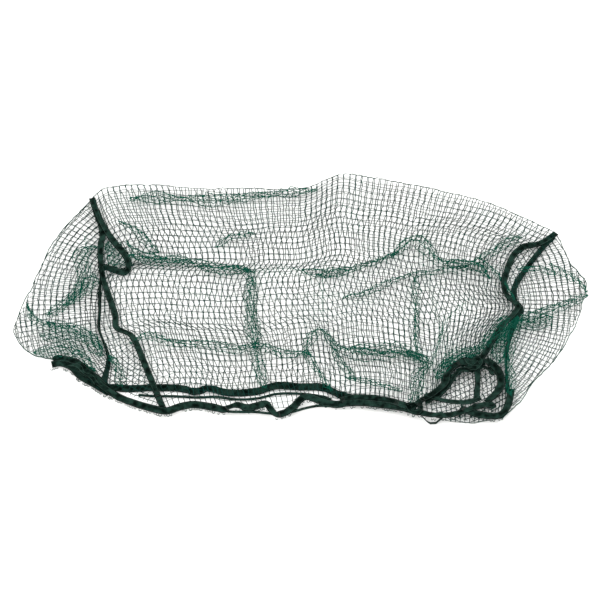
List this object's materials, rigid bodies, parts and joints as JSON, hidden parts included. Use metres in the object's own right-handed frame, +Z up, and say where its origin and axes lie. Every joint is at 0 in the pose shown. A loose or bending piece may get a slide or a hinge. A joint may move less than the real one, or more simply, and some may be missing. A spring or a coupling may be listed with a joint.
{
  "type": "fine-mesh netting cover",
  "caption": "Five-sided box cover of fine square-mesh netting with tape-bound seams and an open taped rim, lying collapsed flat.",
  "frame": {"origin": "on the ground under the middle of the cover as it lies", "axes": "+X along the open rim to the cover's right, +Y from the open rim towards the far fold, +Z up"},
  "size_m": [1.7818, 0.9706, 0.05],
  "materials": {
    "netting": "satin",
    "webbing": "matte",
    "thread": "matte"
  },
  "bodies": {
    "centre": {"front_panel_net": "netting", "top_panel_net": "netting", "back_panel_net": "netting", "left_end_net_inner": "netting", "right_end_net_inner": "netting", "front_rim_tape": "webbing", "back_rim_tape": "webbing", "right_rim_upper_loop": "webbing", "right_rim_lower_loop": "webbing", "rim_tape_overlap": "webbing", "left_front_seam_tape": "webbing", "left_back_seam_tape": "webbing", "left_seam_tape_turn": "webbing", "right_front_seam_tape": "webbing", "right_back_seam_tape": "webbing", "right_seam_tape_turn": "webbing", "right_seam_tape_tail": "webbing", "front_rim_stitches": "thread", "back_rim_stitches": "thread", "left_front_seam_stitches": "thread", "right_front_seam_stitches": "thread", "overlap_bar_tacks": "thread", "seam_end_bar_tacks": "thread"},
    "left_end": {"left_end_net_fold": "netting", "left_rim_tape": "webbing"},
    "right_end": {"right_end_net_fold": "netting"}
  },
  "joints": [
    {"name": "left_end_fold", "type": "hinge", "parent": "centre", "child": "left_end", "pos_m": [-0.65343, 0, 0.022], "axis": [0, 1, 0], "range_deg": [0, 135]},
    {"name": "right_end_fold", "type": "hinge", "parent": "centre", "child": "right_end", "pos_m": [0.65487, -0.41812, 0.022], "axis": [-0.2199, -0.9755, 0], "range_deg": [0, 135]}
  ]
}
